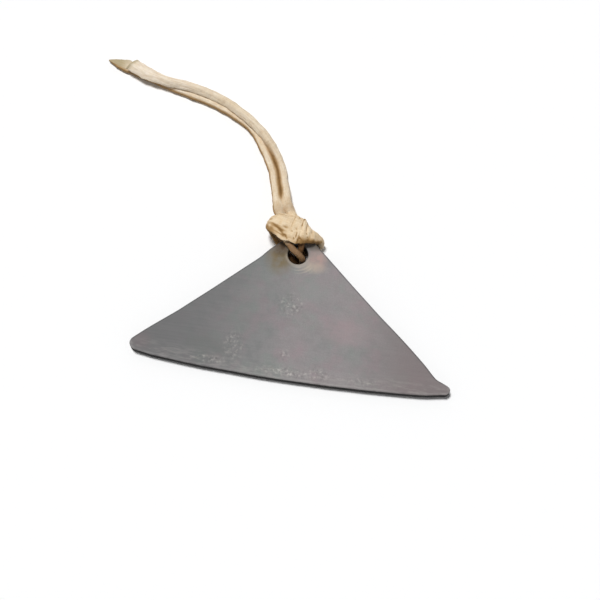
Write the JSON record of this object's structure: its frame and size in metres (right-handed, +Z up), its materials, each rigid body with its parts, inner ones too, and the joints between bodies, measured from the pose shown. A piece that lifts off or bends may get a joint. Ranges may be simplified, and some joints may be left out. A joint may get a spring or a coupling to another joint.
{
  "type": "fire steel",
  "caption": "Triangular forged fire steel with a convex striking edge and a leather thong hitched through the hole in its rounded apex.",
  "frame": {"origin": "centre of the steel plate's bounding box, at the table that it lies on", "axes": "+X along the striking edge towards the toe, +Y from the striking edge towards the hole, +Z up"},
  "size_m": [0.1135, 0.0922, 0.0107],
  "materials": {
    "steel": "matte, tempered",
    "thong": "matte, undyed"
  },
  "bodies": {
    "steel": {"steel_plate": "steel"},
    "thong": {"thong_hitch": "thong", "thong_leg_left": "thong", "thong_leg_right": "thong"}
  },
  "joints": [
    {"name": "thong_swivel", "type": "hinge", "parent": "steel", "child": "thong", "pos_m": [-0.00249, 0.01531, 0.00428], "axis": [0, 0, 1], "range_deg": [-6, 24]}
  ]
}
